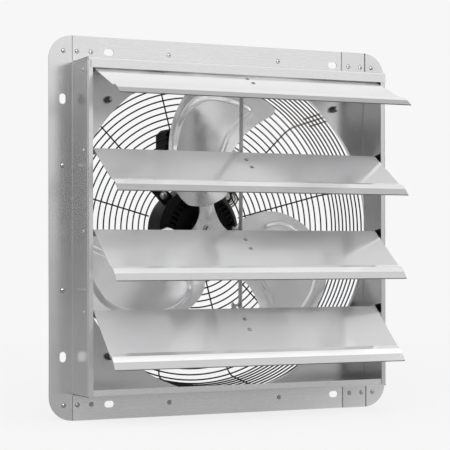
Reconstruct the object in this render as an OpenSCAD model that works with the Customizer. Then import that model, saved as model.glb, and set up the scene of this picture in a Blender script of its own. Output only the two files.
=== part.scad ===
// Wall-mounted shutter exhaust fan. X runs to the right seen from the louver side, Z is up, and
// Y runs back through the wall. The origin is the centre of the flange's back face, y = 0.

/* [Mounting flange] */
// Width and height of the square flange
flange_w = 550; // [545:1:560]
// Corner radius of the flange
corner_r = 35; // [25:1:35]
// Thickness of the frame and panel sheet
sheet_t = 1.2; // [1:0.1:1.3]
// Length of a mounting slot, end to end
slot_len = 15; // [13:0.5:16]
// Width of a mounting slot
slot_w = 9.5; // [8:0.5:10]

/* [Sleeve] */
// Outer width of the sleeve
sleeve_w = 479.6; // [478:0.2:481]
// Outer height of the sleeve
sleeve_h = 474.5; // [473:0.5:475]
// Depth of the sleeve in front of the flange's back face
sleeve_d = 66; // [65.5:0.5:68]
// Width of the front lips of the side pieces
side_lip = 8; // [6:0.5:9]
// Height of the top piece's front lip
top_lip = 14.5; // [12:0.5:14.5]
// Height of the bottom piece's front lip
bottom_lip = 10; // [8:0.5:12]

/* [Louvers] */
// Width of a louver
louver_w = 455; // [453:0.2:456]
// Thickness of the louver sheet
louver_t = 1; // [0.8:0.1:1]
// Height of the top pivot
top_pivot_z = 220; // [219.5:0.1:220.5]
// Distance from one louver's pivot down to the next
pivot_pitch = 113.5; // [113:0.1:113.8]
// Place of the pivots in front of the flange
pivot_y = -49.4; // [-49.8:0.1:-49]
// Slope of each louver below the horizontal when fully open, from the top one down
open_deg = [22.7, 32.4, 37.4, 42]; // [20:0.1:45]
// How far the top louver swings to close
swing_deg = 65; // [60:0.5:65]
// Swing of each louver for a swing of one on the top louver
follow = [1, 0.85, 0.78, 0.64]; // [0.6:0.01:1]
// Length of the top louver's link arm
top_arm = 9; // [8:0.1:9]

/* [Wire guard] */
// Wire diameter
wire_d = 2.3; // [2:0.1:2.4]
// Place of the rings of the guard's back face
face_y = 115.3; // [115:0.1:116]
// Radius of the innermost ring
inner_ring_r = 83; // [82.5:0.1:83.5]
// Distance from ring to ring, along the guard's profile
ring_pitch = 9.5; // [9:0.1:9.6]
// Number of rings, from the innermost one to the rim
rings = 27; // [25:1:27]
// Radius at which the flat back starts to bend forward
bend_at = 217; // [214:0.5:218]
// Radius of the bend between the flat back and the side
guard_bend_r = 22; // [20:0.5:25]
// Radius of the guard's rim
rim_r = 251.5; // [251:0.1:251.8]
// Number of radial wires
spokes = 12; // [12]
// Angle of the first radial wire
guard_turn = 14.5; // [14:0.1:15]

/* [Fan] */
// Angle of the first blade, counted from +X towards +Z
blade_turn = 92.6; // [0:0.1:120]
// Thickness of the blade sheet
blade_t = 1.2; // [1:0.1:1.5]
// Radius of the blade's camber
camber_r = 216; // [210:1:225]
// How far the blade's middle is pressed towards the front
press_h = 2.2; // [1.5:0.1:2.5]

/* [Motor] */
// Outer radius of the motor's bells
motor_r = 66; // [65:0.5:67]
// Place of the motor's front face
motor_front = 82; // [81.5:0.5:82.5]
// Place of the motor's back face
motor_back = 146; // [144:1:150]
// Radius of the circle of mounting lugs
lug_r = 75.5; // [75:0.1:75.6]
// Radius of the motor shaft
shaft_r = 6; // [5.5:0.1:6]

/* [Hidden] */
$fn = 48;
wire_r = wire_d/2;
hole_gap = 0.1;

// Flange: strips, tabs, rivets and slots
strip_edge = sleeve_w/2;
tab_in = 200;
joggle = 2.6;
left_joggle = 14;
tab_gap = 0.3;
row_z = flange_w/2 - 21.4;
row_x = flange_w/2 - 20.8;
slot_at = 184;
rivet_r = 3.3;
rivet_shank_r = 1.6;
rivet_dome = 1.5;
corner_rivet_x = [253, 232.8, 211.6];
corner_rivet_z = flange_w/2 - 22.3;
top_rivet_x = 90;
top_rivet_z = flange_w/2 - 20.2;
side_rivet_z = 89;
side_rivet_x = flange_w/2 - 20.3;

// Orifice panel
panel_w = flange_w - 4;
orifice_r = 244.5;
orifice_lip = 7;
guard_bolt_r = 262;
guard_bolt_deg = [45, 135, 225, 315];

// Louver section, in the louver's own frame: its pivot at 0, forward is -Y, up is +Z
panel_m = 5.9;
louver_line = [[-2, panel_m], [-86.5, panel_m], [-95.5, 9.3], [-105.5, 8.25], [-117.6, 5]];
louver_rear_r = 4;
louvers = [0, 1, 2, 3];
pin_r = 2;
ear_hole_gap = 0.07;
ear_r = 6;
block_x = 232;
block_tilt = 8.4;
block_len = 28.8;
block_h = 11.6;
collar_r = 4.5;
louver_x = louver_w/2;
wall_x = strip_edge - sheet_t;

// Shutter linkage: each arm is as long as makes its pin travel as far as the top one
link_r = 1.5;
link_head = 2.8;
bar_mid_x = 8.3;
bar_lean = 0.005;
bar_t = 1.6;
bar_w = 10;
bar_end = 4.2;
bracket_t = 1.2;
bracket_base = [-52, -9];
bracket_w = 10.9;
bracket_rivet_u = [24.5, 46];
rivet_x0 = 2.6;
rivet_shift = 1.25;
bar_side_gap = 0.8;
bar_hole_r = [link_r + 0.07, link_r + 0.45, link_r + 0.6, link_r + 0.75];

// Guard: a flat back, a bend, and a side that widens towards the rim
rim_y = 10;
bend_y = face_y - guard_bend_r;
rim = [rim_r - bend_at, rim_y - bend_y];
taper = atan2(rim.y, rim.x) + acos(guard_bend_r/norm(rim));
flat_len = bend_at - inner_ring_r;
flat_rings = floor(flat_len/ring_pitch);
bend_len = guard_bend_r*(90 - taper)*PI/180;
spoke_y = face_y - wire_d;
spoke_in_r = [79, 83.5, 79];
spoke_bend_r = guard_bend_r - wire_d;
foot_y = sheet_t;
ear_half = 7.6;
ear_top_y = 62;
ear_bend = 4;
guard_back = face_y + wire_r;
ring_sides = 96;
wire_sides = 16;
bolt_r = 2.4;
bolt_hex_r = 4.6;
motor_plate_w = 15;
motor_plate_len = 21;
motor_plate_t = 2;

// Fan: the blades lie on a cylinder whose axis runs out along the arm
camber_t0 = -56;
camber_y = 66.15 - camber_r;
blade_line = [[36, 20], [40, 40], [60, 61], [83, 71.5], [115, 74.5], [145, 69.5], [172, 58], [196, 41],
    [214, 23], [223, 0], [223, -30], [217, -60], [206.5, -89], [193, -113], [183, -121.5], [174, -118],
    [165, -102], [155, -86], [145, -73.5], [132, -61], [118, -50.5], [98, -42.5], [72, -40.5], [52, -36],
    [42, -19], [36, 0]];
press_line = [[77, 46], [89, 57.5], [105, 61.8], [125, 61.8], [146, 56], [163, 48], [178, 37], [190, 23],
    [199, 6], [202, -12], [200.5, -34], [195, -56], [187, -77], [181, -83], [174, -79], [165, -65],
    [153, -52], [143, -43.5], [132, -37], [120, -31.5], [106, -22], [94, -4], [83, 20], [76, 36]];
arm_half = 13;
arm_in = 24;
arm_out = 92;
arm_end_r = 6;
arm_fillet = 48.4;
spider_t = 2.5;
spider_r = 31;
spider_y = [57, 63.4];
hub_r = 15;
hub_y = [spider_y[1], 75.5];
hub_bolt_r = 3;
blade_rivets_r = [58, 72, 85];
blade_rivet_t = 2;
blade_rivet_r = 2;

// Motor
bell_split = 107.8;
bell_wall = 3;
front_flat_r = 57;
front_chamfer = 11;
bearing = [6, 16, 10];
bearing_y = [78, 133];
seat_r = 19.5;
stator_r = [36, motor_r - bell_wall];
stator_y = [98, 128];
rotor_r = 35.6;
vent_r = [43.5, 54.5];
vent_w = 4;
vent_pitch = 8.2;
bell_bolt_deg = [60, 180, 300];
bell_bolt_at = 58.2;
lug_pad = 10;
lug_hole_r = 2.6;
bell_bolt_r = 2;
bell_boss_r = 4.2;
lug_deg = [45, 135, 225, 315];

// Terminal box behind the guard
box_x = [-45, 45];
box_y = [guard_back + 1.6, guard_back + 40];
box_z = [84, 157.5];
box_ridge = 4;
box_wall = 2.2;
box_chamfer = 8;
box_post_r = 4.5;
box_screw_r = 1.6;
gland_z = 113;
gland_r = 8;
capacitor_at = [-30, 100];
capacitor_size = [34, 22, 34];
lead_r = 1.5;
lead_y = 132;
lead_step = 4;
lead_box_x = 9;
lead_out_deg = 30;
lead_out_r = 70;
lead_route = [[61, 128, 35.2], [69, 128, 40], [79, 129, 49], [73, 130, 61], [52, 131, 69], [28, 132, 72],
    [14, 132, 75], [lead_box_x, 132, 81], [lead_box_x, 132, 89]];

// A plate whose outline is drawn in X and Z, from y0 back to y1
module plate_y(y0, y1) {
    translate([0, y1, 0]) rotate([90, 0, 0]) linear_extrude(y1 - y0) children();
}

// A plate whose outline is drawn in Y and Z, from x0 to x1
module plate_x(x0, x1) {
    translate([x0, 0, 0]) rotate([90, 0, 90]) linear_extrude(x1 - x0) children();
}

// A round bar along Y
module rod_y(r, y0, y1) {
    translate([0, y0, 0]) rotate([-90, 0, 0]) cylinder(r = r, h = y1 - y0);
}

// A round bar along X
module rod_x(r, x0, x1) {
    translate([x0, 0, 0]) rotate([0, 90, 0]) cylinder(r = r, h = x1 - x0);
}

// A turned shape about Y, whose section is drawn in radius and Y
module turned_y() {
    rotate([-90, 0, 0]) rotate_extrude($fn = ring_sides) children();
}

// Copies round the Y axis at the given angles, counted from +X towards +Z
module round_y(angles) {
    for (a = angles) rotate([0, -a, 0]) children();
}

module rounded_square(w, h, r) {
    square([w - 2*r, h], center = true);
    square([w, h - 2*r], center = true);
    for (x = [-1, 1], z = [-1, 1]) translate([x*(w/2 - r), z*(h/2 - r)]) circle(r = r);
}

module slot_x(len, w) {
    square([len - w, w], center = true);
    for (s = [-1, 1]) translate([s*(len - w)/2, 0]) circle(d = w);
}

// The eight mounting slots, grown all round by extra
module slots(extra) {
    for (x = [-1, 1], z = [-1, 1]) {
        translate([x*slot_at, z*row_z]) slot_x(slot_len + 2*extra, slot_w + 2*extra);
        translate([x*row_x, z*slot_at]) rotate(90) slot_x(slot_len + 2*extra, slot_w + 2*extra);
    }
}

module corner_rivet_places() {
    for (x = corner_rivet_x, sx = [-1, 1], sz = [-1, 1]) translate([sx*x, sz*corner_rivet_z]) children();
}

module panel_rivet_places() {
    for (x = [-1, 1], z = [-1, 1]) {
        translate([x*top_rivet_x, z*top_rivet_z]) children();
        translate([x*side_rivet_x, z*side_rivet_z]) children();
    }
}

module rivet_holes() {
    corner_rivet_places() circle(r = rivet_shank_r + hole_gap);
    panel_rivet_places() circle(r = rivet_shank_r + hole_gap);
}

// Points of a bent sheet's middle line, with each inner corner turned to an arc
function unit(v) = v/norm(v);
function bend_arc(a, b, c, r, n) =
    let (d1 = unit(b - a), d2 = unit(c - b), turn = acos(d1*d2), s = sign(cross(d1, d2)),
        n1 = [-d1.y, d1.x]*s, mid = b - d1*r*tan(turn/2) + n1*r, a0 = atan2(-n1.y, -n1.x))
    [for (k = [0:n]) mid + r*[cos(a0 + s*turn*k/n), sin(a0 + s*turn*k/n)]];
function bent_line(p, r, n) = [p[0], for (i = [1:len(p) - 2]) each bend_arc(p[i - 1], p[i], p[i + 1], r, n),
    p[len(p) - 1]];
function beside(p, h) = [for (i = [0:len(p) - 1])
    let (d1 = unit(p[max(i, 1)] - p[max(i, 1) - 1]),
        d2 = unit(p[min(i, len(p) - 2) + 1] - p[min(i, len(p) - 2)]), n = unit([-d1.y - d2.y, d1.x + d2.x]))
    p[i] + n*h/(n*[-d1.y, d1.x])];
function turned_back(p) = [for (i = [len(p) - 1:-1:0]) p[i]];

module bent_sheet(line, t, r, n = 4) {
    mid = bent_line(line, r, n);
    polygon(concat(beside(mid, t/2), turned_back(beside(mid, -t/2))));
}

// A closed smooth curve through the given points
function smooth_point(a, b, c, d, s) = 0.5*(2*b + (c - a)*s + (2*a - 5*b + 4*c - d)*s*s
    + (3*b - a - 3*c + d)*s*s*s);
function closed_curve(p, n) = let (m = len(p))
    [for (i = [0:m - 1], k = [0:n - 1]) smooth_point(p[(i + m - 1)%m], p[i], p[(i + 1)%m], p[(i + 2)%m], k/n)];

// A side piece lies on the right; the left one is its mirror image apart from its tabs
module side_wall_and_lip() {
    half = sleeve_h/2;
    notch = sheet_t + 0.4;
    difference() {
        translate([0, 0, -half]) linear_extrude(sleeve_h) bent_sheet([[strip_edge - side_lip, -sleeve_d
            + sheet_t/2], [strip_edge - sheet_t/2, -sleeve_d + sheet_t/2],
            [strip_edge - sheet_t/2, -sheet_t/2], [strip_edge + 3, -sheet_t/2]], sheet_t, 1.4);
        for (z = [-half, half - notch]) translate([strip_edge - side_lip - 1, -sleeve_d - 1, z])
            cube([side_lip + 1 - sheet_t, 6, notch]);
    }
}

module side_flange_outline() {
    intersection() {
        rounded_square(flange_w, flange_w, corner_r);
        translate([strip_edge + 2.9, -flange_w/2]) square([flange_w, flange_w]);
    }
    for (z = [-1, 1]) translate([strip_edge + 1.5, z*(sleeve_h + flange_w)/4])
        square([3, (flange_w - sleeve_h)/2], center = true);
}

module wall_pin_holes(r) {
    for (i = louvers) translate([0, pivot_y, top_pivot_z - i*pivot_pitch]) rod_x(r, 200, 260);
}

module side_piece() {
    difference() {
        union() {
            side_wall_and_lip();
            plate_y(-sheet_t, 0) side_flange_outline();
            children();
        }
        plate_y(-5, 1) union() {
            slots(0);
            rivet_holes();
        }
        wall_pin_holes(pin_r + hole_gap);
    }
}

// Height of a tab, from the bend of the top or bottom piece to the flange's edge
tab_z0 = sleeve_h/2 + 1.5;
tab_h = flange_w/2 - tab_z0;

module frame_side_right() {
    color("silver") side_piece() for (z = [-1, 1]) mirror([0, 0, z < 0 ? 1 : 0]) translate([0, 0, tab_z0])
        linear_extrude(tab_h) union() {
            translate([tab_in, -2*sheet_t]) square([strip_edge - tab_in, sheet_t]);
            polygon([[strip_edge - 0.1, -2*sheet_t], [strip_edge + joggle, -sheet_t],
                [strip_edge + joggle, 0], [strip_edge - 0.1, -sheet_t]]);
        }
}

module frame_side_left() {
    color("silver") mirror([1, 0, 0]) side_piece() for (z = [-1, 1]) mirror([0, 0, z < 0 ? 1 : 0])
        translate([tab_in, -sheet_t, tab_z0]) cube([strip_edge - tab_in + 1, sheet_t, tab_h]);
}

// A top piece: its wall, its lip in front and its flange strip, which laps over the left tab
module cross_piece(lip, lip_x0, lip_x1, lip_y) {
    half = sleeve_h/2;
    end_x = strip_edge - 3.6;
    difference() {
        union() {
            plate_x(-wall_x + 0.2, wall_x - 0.2) bent_sheet([[lip_y, half - sheet_t/2 - 4],
                [lip_y, half - sheet_t/2], [-sheet_t/2, half - sheet_t/2], [-sheet_t/2, half + 3]],
                sheet_t, 1.4);
            plate_y(lip_y - sheet_t/2, lip_y + sheet_t/2)
                translate([lip_x0, half - lip]) square([lip_x1 - lip_x0, lip - 3]);
            plate_y(-sheet_t, 0) translate([-tab_in + left_joggle, half + 2.5])
                square([tab_in - left_joggle + end_x, flange_w/2 - half - 2.5]);
            translate([0, 0, half + 2.5]) linear_extrude(flange_w/2 - half - 2.5) union() {
                translate([-strip_edge + tab_gap, -2*sheet_t])
                    square([strip_edge - tab_in - tab_gap, sheet_t]);
                polygon([[-tab_in - 0.1, -2*sheet_t], [-tab_in + left_joggle + 0.1, -sheet_t],
                    [-tab_in + left_joggle + 0.1, 0], [-tab_in - 0.1, -sheet_t]]);
            }
        }
        plate_y(-5, 1) union() {
            slots(0);
            rivet_holes();
        }
        translate([-tab_in - 0.02 - 40, -sheet_t, 0]) cube([40, sheet_t + 1, flange_w]);
    }
}

module frame_top() {
    color("silver") cross_piece(top_lip, -strip_edge + 5, strip_edge - 0.2, -sleeve_d - sheet_t/2);
}

module frame_bottom() {
    color("silver") mirror([0, 0, 1]) cross_piece(bottom_lip, -wall_x + 1.4, wall_x - 1.4,
        -sleeve_d + 1.5*sheet_t);
}

// A blind rivet seen from the front: domed head with a mandrel hole, shank and tail
module rivet(front_y, back_y) {
    difference() {
        union() {
            turned_y() intersection() {
                translate([0, front_y + 2.9]) circle(r = 4.4);
                translate([0, front_y - rivet_dome]) square([rivet_r, rivet_dome]);
            }
            rod_y(rivet_shank_r, front_y - 0.5, back_y + 0.5);
            rod_y(rivet_shank_r + 0.8, back_y, back_y + 2);
        }
        rod_y(1, front_y - 3, front_y - 0.4);
    }
}

module corner_rivets() {
    color("gainsboro") for (i = [0:2], sx = [-1, 1], sz = [-1, 1])
        translate([sx*corner_rivet_x[i], 0, sz*corner_rivet_z])
            rivet(i == 0 ? -sheet_t : -2*sheet_t, sheet_t);
}

module panel_rivets() {
    color("gainsboro") for (x = [-1, 1], z = [-1, 1]) {
        translate([x*top_rivet_x, 0, z*top_rivet_z]) rivet(-sheet_t, sheet_t);
        translate([x*side_rivet_x, 0, z*side_rivet_z]) rivet(-sheet_t, sheet_t);
    }
}

module orifice_panel() {
    color("silver") difference() {
        union() {
            plate_y(0, sheet_t) rounded_square(panel_w, panel_w, corner_r - 2);
            rod_y(orifice_r + sheet_t, 0, orifice_lip, $fn = 128);
        }
        rod_y(orifice_r, -1, orifice_lip + 1, $fn = 128);
        plate_y(-1, sheet_t + 1) union() {
            slots(1.5);
            rivet_holes();
            for (a = guard_bolt_deg) rotate(a) translate([guard_bolt_r, 0]) circle(r = bolt_r + hole_gap);
        }
    }
}

module both_sides() {
    children();
    mirror([1, 0, 0]) children();
}

// Steel pins with a domed head outside the wall and a peened end inside the louver's ear
module pivot_pins() {
    color("lightgray") both_sides() for (i = louvers)
        translate([0, pivot_y, top_pivot_z - i*pivot_pitch]) {
            rod_x(pin_r, louver_x - 2.2, strip_edge + 0.2);
            rod_x(3.4, louver_x - 3, louver_x - 1.6);
            rotate([0, 90, 0]) rotate_extrude() intersection() {
                translate([0, strip_edge - 3.2]) circle(r = 4.6);
                translate([0, strip_edge]) square([3.3, 2]);
            }
        }
}

// Black nylon bearing blocks on the inside of the side walls
module pivot_blocks() {
    color([0.08, 0.08, 0.08]) both_sides() for (i = louvers)
        translate([0, pivot_y, top_pivot_z - i*pivot_pitch]) difference() {
            union() {
                rotate([-block_tilt, 0, 0]) plate_x(block_x, wall_x)
                    rounded_square(block_len, block_h, 1.5);
                rod_x(collar_r, louver_x + 0.5, block_x + 1);
            }
            rod_x(pin_r, louver_x - 1, strip_edge);
        }
}

// Places a louver's own frame: turned about its pivot by its slope
module at_louver(i) {
    translate([0, pivot_y, top_pivot_z - i*pivot_pitch]) rotate([open_deg[i], 0, 0]) children();
}

function bar_x(z) = bar_mid_x + bar_lean*z;
function arm_len(i) = top_arm*sin(swing_deg/2)/sin(follow[i]*swing_deg/2);
function arm_deg(i) = open_deg[0] + (1 - follow[i])*swing_deg/2;
function link_y(i) = pivot_y + arm_len(i)*cos(arm_deg(i));
function link_z(i) = top_pivot_z - i*pivot_pitch + arm_len(i)*sin(arm_deg(i));
function link_x(i) = bar_x(link_z(i));
// The link pin in the louver's own frame
function own_y(i) = arm_len(i)*cos(arm_deg(i) - open_deg[i]);
function own_z(i) = arm_len(i)*sin(arm_deg(i) - open_deg[i]);
function bracket_rivet_x(i) = rivet_x0 - rivet_shift*i;

module louver_ear() {
    circle(r = ear_r);
    polygon([[0, ear_r], [-18, panel_m], [-5, -3]]);
}

module louver(i) {
    color("gainsboro") at_louver(i) difference() {
        union() {
            difference() {
                plate_x(-louver_x, louver_x) bent_sheet(louver_line, louver_t, 1.5);
                for (s = [-1, 1]) translate([s*louver_x, 0, 0]) translate([-s*louver_rear_r, -2
                    - louver_rear_r, 0]) mirror([s < 0 ? 1 : 0, 0, 0]) difference() {
                    cube([louver_rear_r + 1, louver_rear_r + 5, 20]);
                    translate([0, 0, -1]) cylinder(r = louver_rear_r, h = 30);
                }
            }
            for (s = [-1, 1]) translate([s*(louver_x - louver_t/2), 0, 0])
                plate_x(-louver_t/2, louver_t/2) louver_ear();
        }
        rod_x(pin_r + ear_hole_gap, -louver_x - 1, louver_x + 1);
        for (u = bracket_rivet_u) translate([bracket_rivet_x(i), -u, 0])
            cylinder(r = rivet_shank_r + hole_gap, h = 20);
    }
}

// A bent clip under the louver: base plate with two ears that carry the link pin behind the pivot
module louver_bracket(i) {
    x1 = link_x(i) - bar_t/2 - bar_side_gap;
    x0 = x1 - bracket_w;
    base_z = panel_m - louver_t/2;
    color("silver") at_louver(i) difference() {
        union() {
            translate([x0, bracket_base[0], base_z - bracket_t])
                cube([bracket_w, bracket_base[1] - bracket_base[0], bracket_t]);
            for (x = [x0, x1 - bracket_t]) plate_x(x, x + bracket_t) {
                translate([own_y(i), own_z(i)]) circle(r = 4.2);
                polygon([[own_y(i), own_z(i) + 3.8], [own_y(i), own_z(i) - 3.8], [-20, -1.5],
                    [-30, base_z - bracket_t/2], [-9, base_z - bracket_t/2], [-3, 4.6]]);
            }
        }
        translate([0, own_y(i), own_z(i)]) rod_x(link_r, x0 - 1, x1 + 1);
        for (u = bracket_rivet_u) translate([bracket_rivet_x(i), -u, 0])
            cylinder(r = rivet_shank_r + hole_gap, h = 20);
    }
}

module bracket_rivets(i) {
    top = panel_m + louver_t/2;
    low = panel_m - louver_t/2 - bracket_t;
    color("gainsboro") at_louver(i) for (u = bracket_rivet_u) translate([bracket_rivet_x(i), -u, 0])
        difference() {
            union() {
                rotate_extrude() intersection() {
                    translate([0, top - 2.4]) circle(r = 4);
                    translate([0, top]) square([3, 3]);
                }
                translate([0, 0, low - 0.5]) cylinder(r = rivet_shank_r, h = top - low + 1);
                translate([0, 0, low - 1.6]) cylinder(r = rivet_shank_r + 0.8, h = 1.6);
            }
            translate([0, 0, top + 0.6]) cylinder(r = 0.9, h = 3);
        }
}

module link_pin(i) {
    x1 = link_x(i) - bar_t/2 - bar_side_gap;
    color("lightgray") translate([0, link_y(i), link_z(i)]) {
        rod_x(link_r, x1 - bracket_w - 0.5, link_x(i) + bar_t/2 + 0.8);
        rod_x(link_head, x1 - bracket_w - 1.2, x1 - bracket_w);
        rod_x(link_head, link_x(i) + bar_t/2 + 0.3, link_x(i) + bar_t/2 + 1.3);
    }
}

// The flat strip that joins the four arms, leaning as its pins do
module tie_bar() {
    low = [link_y(3), link_z(3)];
    high = [link_y(0), link_z(0)];
    along = unit(high - low);
    across = [-along.y, along.x]*bar_w/2;
    color("silver") difference() {
        multmatrix([[1, 0, bar_lean, bar_mid_x], [0, 1, 0, 0], [0, 0, 1, 0]])
            plate_x(-bar_t/2, bar_t/2) polygon([low - along*bar_end + across, low - along*bar_end - across,
                high + along*bar_end - across, high + along*bar_end + across]);
        for (i = louvers) translate([link_x(i), link_y(i), link_z(i)]) rod_x(bar_hole_r[i], -5, 5);
    }
}

// Radius and Y of the point at a distance s from the innermost ring along the guard's profile
function on_guard(s) = s <= flat_len ? [inner_ring_r + s, face_y]
    : s <= flat_len + bend_len ? let (a = 90 - (s - flat_len)/guard_bend_r*180/PI)
        [bend_at + guard_bend_r*cos(a), bend_y + guard_bend_r*sin(a)]
    : let (d = s - flat_len - bend_len)
        [bend_at + guard_bend_r*cos(taper) + d*sin(taper), bend_y + guard_bend_r*sin(taper) - d*cos(taper)];

module wire_ring(at) {
    translate([0, at.y, 0]) rotate([-90, 0, 0]) rotate_extrude($fn = ring_sides) translate([at.x, 0])
        circle(r = wire_r, $fn = wire_sides);
}

module guard_face_rings() {
    color([0.06, 0.06, 0.06]) for (i = [0:flat_rings]) wire_ring(on_guard(i*ring_pitch));
}

module guard_side_rings() {
    color([0.06, 0.06, 0.06]) for (i = [flat_rings + 1:rings - 1]) wire_ring(on_guard(i*ring_pitch));
}

// A bend of wire in X and Y, through the given angle from the +X side round towards the +Y side
module wire_bend(r, angle) {
    rotate_extrude(angle = angle, $fn = ring_sides) translate([r, 0]) circle(r = wire_r, $fn = wire_sides);
}

// Radius, at a given Y, of the wires that run up the inside of the side rings
function leg_x(y) = bend_at + spoke_bend_r*cos(taper) + (bend_y + spoke_bend_r*sin(taper) - y)*tan(taper);

module side_leg(y0, y1) {
    translate([leg_x(y0), y0, 0]) rotate([0, 0, taper])
        rod_y(wire_r, 0, (y1 - y0)/cos(taper), $fn = wire_sides);
}

module guard_spokes() {
    color([0.06, 0.06, 0.06]) for (i = [0:spokes - 1]) round_y([guard_turn + i*360/spokes]) {
        translate([0, spoke_y, 0]) rod_x(wire_r, spoke_in_r[i%3], bend_at, $fn = wire_sides);
        translate([bend_at, bend_y, 0]) rotate([0, 0, taper]) wire_bend(spoke_bend_r, 90 - taper);
        side_leg(foot_y + wire_r*sin(taper), bend_y + spoke_bend_r*sin(taper));
    }
}

// Each corner ear is a wire bent to a long U: two legs up the side and an eye round the bolt
module guard_ears() {
    eye_y = foot_y + wire_r;
    leg_y = eye_y + ear_bend*(1 - sin(taper));
    turn_x = leg_x(leg_y) + ear_bend*cos(taper);
    color([0.06, 0.06, 0.06]) round_y([for (i = [1, 4, 7, 10]) guard_turn + i*360/spokes]) {
        for (s = [-1, 1]) translate([0, 0, s*ear_half]) {
            side_leg(leg_y, ear_top_y);
            translate([turn_x, eye_y + ear_bend, 0]) rotate([0, 0, 180 + taper])
                wire_bend(ear_bend, 90 - taper);
            translate([0, eye_y, 0]) rod_x(wire_r, turn_x, guard_bolt_r, $fn = wire_sides);
        }
        translate([guard_bolt_r, eye_y, 0]) rotate([90, -90, 0]) rotate_extrude(angle = 180, $fn = ring_sides)
            translate([ear_half, 0]) circle(r = wire_r, $fn = wire_sides);
    }
}

module guard_bolts() {
    back = foot_y + wire_d + sheet_t;
    color("lightgray") round_y(guard_bolt_deg) translate([guard_bolt_r, 0, 0]) {
        rod_y(bolt_r, -13.5, back + 1);
        translate([0, back, 0]) rotate([-90, 0, 0]) cylinder(r = bolt_hex_r, h = 3.6, $fn = 6);
    }
}

module guard_nuts() {
    color([0.12, 0.12, 0.12]) round_y(guard_bolt_deg) translate([guard_bolt_r, 0, 0]) difference() {
        turned_y() polygon([[0, -9], [3.6, -9], [4.3, -8.2], [4.5, -2], [5.2, -1.2], [5.2, 0], [0, 0]]);
        rod_y(bolt_r, -20, 2);
    }
}

module guard_washers() {
    color("lightgray") round_y(guard_bolt_deg) translate([guard_bolt_r, foot_y + wire_d, 0]) difference() {
        rod_y(10, 0, sheet_t);
        rod_y(bolt_r + hole_gap, -1, 3);
    }
}

// Plates welded behind the inner rings, which the motor's lugs are screwed to
module motor_plates() {
    color([0.06, 0.06, 0.06]) round_y(lug_deg) difference() {
        plate_y(guard_back, guard_back + motor_plate_t) union() {
            translate([lug_r, -motor_plate_w/2]) square([motor_plate_len, motor_plate_w]);
            translate([lug_r, 0]) circle(d = motor_plate_w);
        }
        translate([lug_r, 0, 0]) rod_y(lug_hole_r, guard_back - 1, guard_back + 4);
    }
}

// Five straight vents side by side, near the rim of a bell
module vents() {
    round_y([for (g = [0:5]) 30 + g*60]) for (k = [-2:2])
        translate([vent_r[0] - abs(k)*1.5, -20, k*vent_pitch - vent_w/2])
            cube([vent_r[1] - vent_r[0], 40, vent_w]);
}

module bell_bolt_holes(r) {
    round_y(bell_bolt_deg) translate([bell_bolt_at, 0, 0]) rod_y(r, motor_front - 5, motor_back - 4);
}

module motor_front_bell() {
    in_r = motor_r - bell_wall;
    color([0.07, 0.07, 0.07]) difference() {
        turned_y() polygon([[bearing[1], bearing_y[0]], [seat_r - 1, bearing_y[0]],
            [seat_r, bearing_y[0] + 1], [seat_r, motor_front], [front_flat_r, motor_front],
            [motor_r, motor_front + front_chamfer], [motor_r, bell_split], [in_r, bell_split],
            [in_r, motor_front + front_chamfer + 1], [front_flat_r - 2, motor_front + bell_wall],
            [seat_r, motor_front + bell_wall], [seat_r, bearing_y[0] + bearing[2]],
            [bearing[1], bearing_y[0] + bearing[2]]]);
        translate([0, motor_front, 0]) vents();
        bell_bolt_holes(bell_bolt_r);
        round_y(bell_bolt_deg) translate([bell_bolt_at, 0, 0])
            rod_y(bell_boss_r, motor_front - 5, motor_front + 2);
    }
    color([0.07, 0.07, 0.07]) round_y(bell_bolt_deg) translate([bell_bolt_at, 0, 0]) difference() {
        rod_y(bell_boss_r, motor_front + 2, stator_y[0]);
        rod_y(bell_bolt_r, motor_front, stator_y[0] + 1);
        turned_cut();
    }
}

// Space outside the front bell's inner wall, kept clear of the bolt posts
module turned_cut() {
    translate([-bell_bolt_at, 0, 0]) turned_y() polygon([[0, 0], [front_flat_r - 2, motor_front + bell_wall],
        [0, motor_front + bell_wall]]);
}

module motor_rear_bell() {
    in_r = motor_r - bell_wall;
    seat_y = bearing_y[1];
    color([0.07, 0.07, 0.07]) difference() {
        union() {
            turned_y() polygon([[in_r, bell_split], [motor_r, bell_split], [motor_r, motor_back - 4],
                [motor_r - 4, motor_back], [0, motor_back], [0, motor_back - bell_wall + 0.6],
                [bearing[1], motor_back - bell_wall + 0.6], [bearing[1], seat_y], [seat_r, seat_y],
                [seat_r, motor_back - bell_wall], [in_r - 2, motor_back - bell_wall],
                [in_r, motor_back - bell_wall - 2]]);
            round_y(lug_deg) difference() {
                union() {
                    plate_y(bell_split, bell_split + 4) union() {
                        translate([motor_r - 1, -lug_pad]) square([lug_r - motor_r + 1, 2*lug_pad]);
                        translate([lug_r, 0]) circle(r = lug_pad);
                    }
                    translate([lug_r, 0, 0]) rod_y(5.6, bell_split + 3, guard_back);
                }
                translate([lug_r, 0, 0]) rod_y(lug_hole_r, 90, 130);
            }
            round_y([lead_out_deg]) translate([motor_r - 2, 122, -9]) cube([lead_out_r - motor_r + 2, 12, 18]);
        }
        translate([0, motor_back, 0]) vents();
        bell_bolt_holes(bell_bolt_r);
    }
}

module bell_bolts() {
    color("lightgray") round_y(bell_bolt_deg) translate([bell_bolt_at, 0, 0]) difference() {
        union() {
            rod_y(bell_bolt_r, motor_front + 1, motor_back - 4);
            rod_y(3.6, motor_front - 0.6, motor_front + 2);
        }
        translate([-3, motor_front - 1, -0.5]) cube([6, 1.2, 1]);
    }
}

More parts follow.
